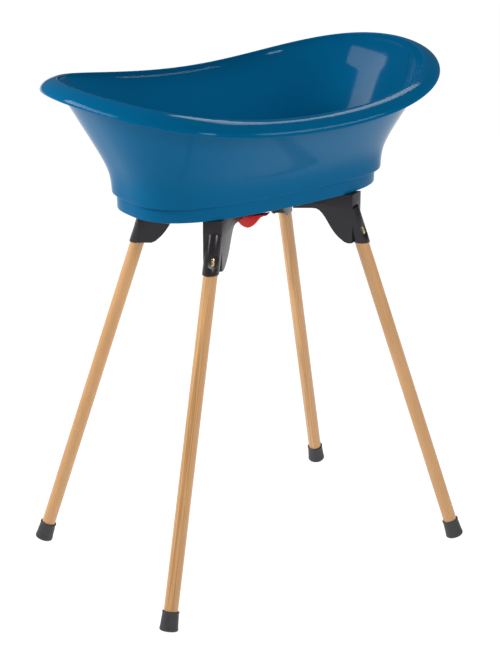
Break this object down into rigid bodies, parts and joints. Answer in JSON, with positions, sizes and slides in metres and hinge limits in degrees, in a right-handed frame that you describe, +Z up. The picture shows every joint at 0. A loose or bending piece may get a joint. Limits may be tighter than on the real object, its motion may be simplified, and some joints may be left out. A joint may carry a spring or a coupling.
{
  "type": "baby bathtub",
  "caption": "Rounded baby bathtub with a rolled rim, standing on two crossing arms that fold, with splayed wooden legs in rubber feet.",
  "frame": {"origin": "on the floor, under the middle of the rim's opening", "axes": "+X along the tub towards its higher end, +Y across it, +Z up"},
  "size_m": [0.784, 0.5446, 1.0075],
  "materials": {
    "tub_blue": "glossy injection-moulded polypropylene, blue",
    "arm_black": "satin moulded plastic, near black",
    "leg_wood": "turned and lacquered light wood",
    "foot_rubber": "matte moulded rubber, near black",
    "lever_red": "semi-gloss moulded plastic, red",
    "white_plastic": "smooth moulded plastic, white",
    "brass": "turned brass, satin",
    "steel": "zinc-plated steel"
  },
  "bodies": {
    "stand": {"upper_arm": "arm_black", "pivot_bolt": "steel", "pivot_top_washer": "steel", "pivot_spacer": "white_plastic", "pivot_low_washer": "steel", "pivot_nut": "steel", "leg_foot_rear": "leg_wood", "rubber_foot_foot_rear": "foot_rubber", "sleeve_foot_rear": "brass", "spring_foot_rear": "steel", "leg_head_front": "leg_wood", "rubber_foot_head_front": "foot_rubber", "sleeve_head_front": "brass", "spring_head_front": "steel"},
    "cross_arm": {"lower_arm": "arm_black", "lever_pin": "steel", "lever_spring": "steel", "leg_foot_front": "leg_wood", "rubber_foot_foot_front": "foot_rubber", "sleeve_foot_front": "brass", "spring_foot_front": "steel", "leg_head_rear": "leg_wood", "rubber_foot_head_rear": "foot_rubber", "sleeve_head_rear": "brass", "spring_head_rear": "steel"},
    "lever": {"lock_lever": "lever_red"},
    "tub": {"tub_shell": "tub_blue", "tub_lip": "tub_blue", "tub_base_ring": "tub_blue", "drain_seat": "white_plastic", "drain_nut": "white_plastic", "drain_seal": "foot_rubber"},
    "plug": {"drain_plug": "tub_blue"},
    "catch_foot_rear": {"button_foot_rear": "brass"},
    "catch_foot_front": {"button_foot_front": "brass"},
    "catch_head_front": {"button_head_front": "brass"},
    "catch_head_rear": {"button_head_rear": "brass"}
  },
  "joints": [
    {"name": "stand_fold", "type": "hinge", "parent": "stand", "child": "cross_arm", "pos_m": [0.011, 0, 0.728], "axis": [0, 0, -1], "range_deg": [0, 48]},
    {"name": "lever_pull", "type": "hinge", "parent": "cross_arm", "child": "lever", "pos_m": [0.04023, 0.02101, 0.7195], "axis": [0.5835, -0.8121, 0], "range_deg": [0, 11], "stiffness_Nm_per_rad": 0.4, "springref_deg": -17.19, "deforming": ["lever_spring"]},
    {"name": "tub_lift", "type": "slide", "parent": "stand", "child": "tub", "axis": [0, 0, 1], "range_m": [0, 0.12]},
    {"name": "plug_pull", "type": "slide", "parent": "tub", "child": "plug", "axis": [0, 0, 1], "range_m": [0, 0.03]},
    {"name": "press_foot_rear", "type": "slide", "parent": "stand", "child": "catch_foot_rear", "axis": [0.3996, -0.8784, -0.2621], "range_m": [0, 0.0031], "stiffness_N_per_m": 400, "springref_m": -0.004, "deforming": ["spring_foot_rear"]},
    {"name": "press_foot_front", "type": "slide", "parent": "cross_arm", "child": "catch_foot_front", "axis": [0.3996, 0.8784, -0.2621], "range_m": [0, 0.0031], "stiffness_N_per_m": 400, "springref_m": -0.004, "deforming": ["spring_foot_front"]},
    {"name": "press_head_front", "type": "slide", "parent": "stand", "child": "catch_head_front", "axis": [-0.3996, 0.8784, -0.2621], "range_m": [0, 0.0031], "stiffness_N_per_m": 400, "springref_m": -0.004, "deforming": ["spring_head_front"]},
    {"name": "press_head_rear", "type": "slide", "parent": "cross_arm", "child": "catch_head_rear", "axis": [-0.3996, -0.8784, -0.2621], "range_m": [0, 0.0031], "stiffness_N_per_m": 400, "springref_m": -0.004, "deforming": ["spring_head_rear"]}
  ]
}
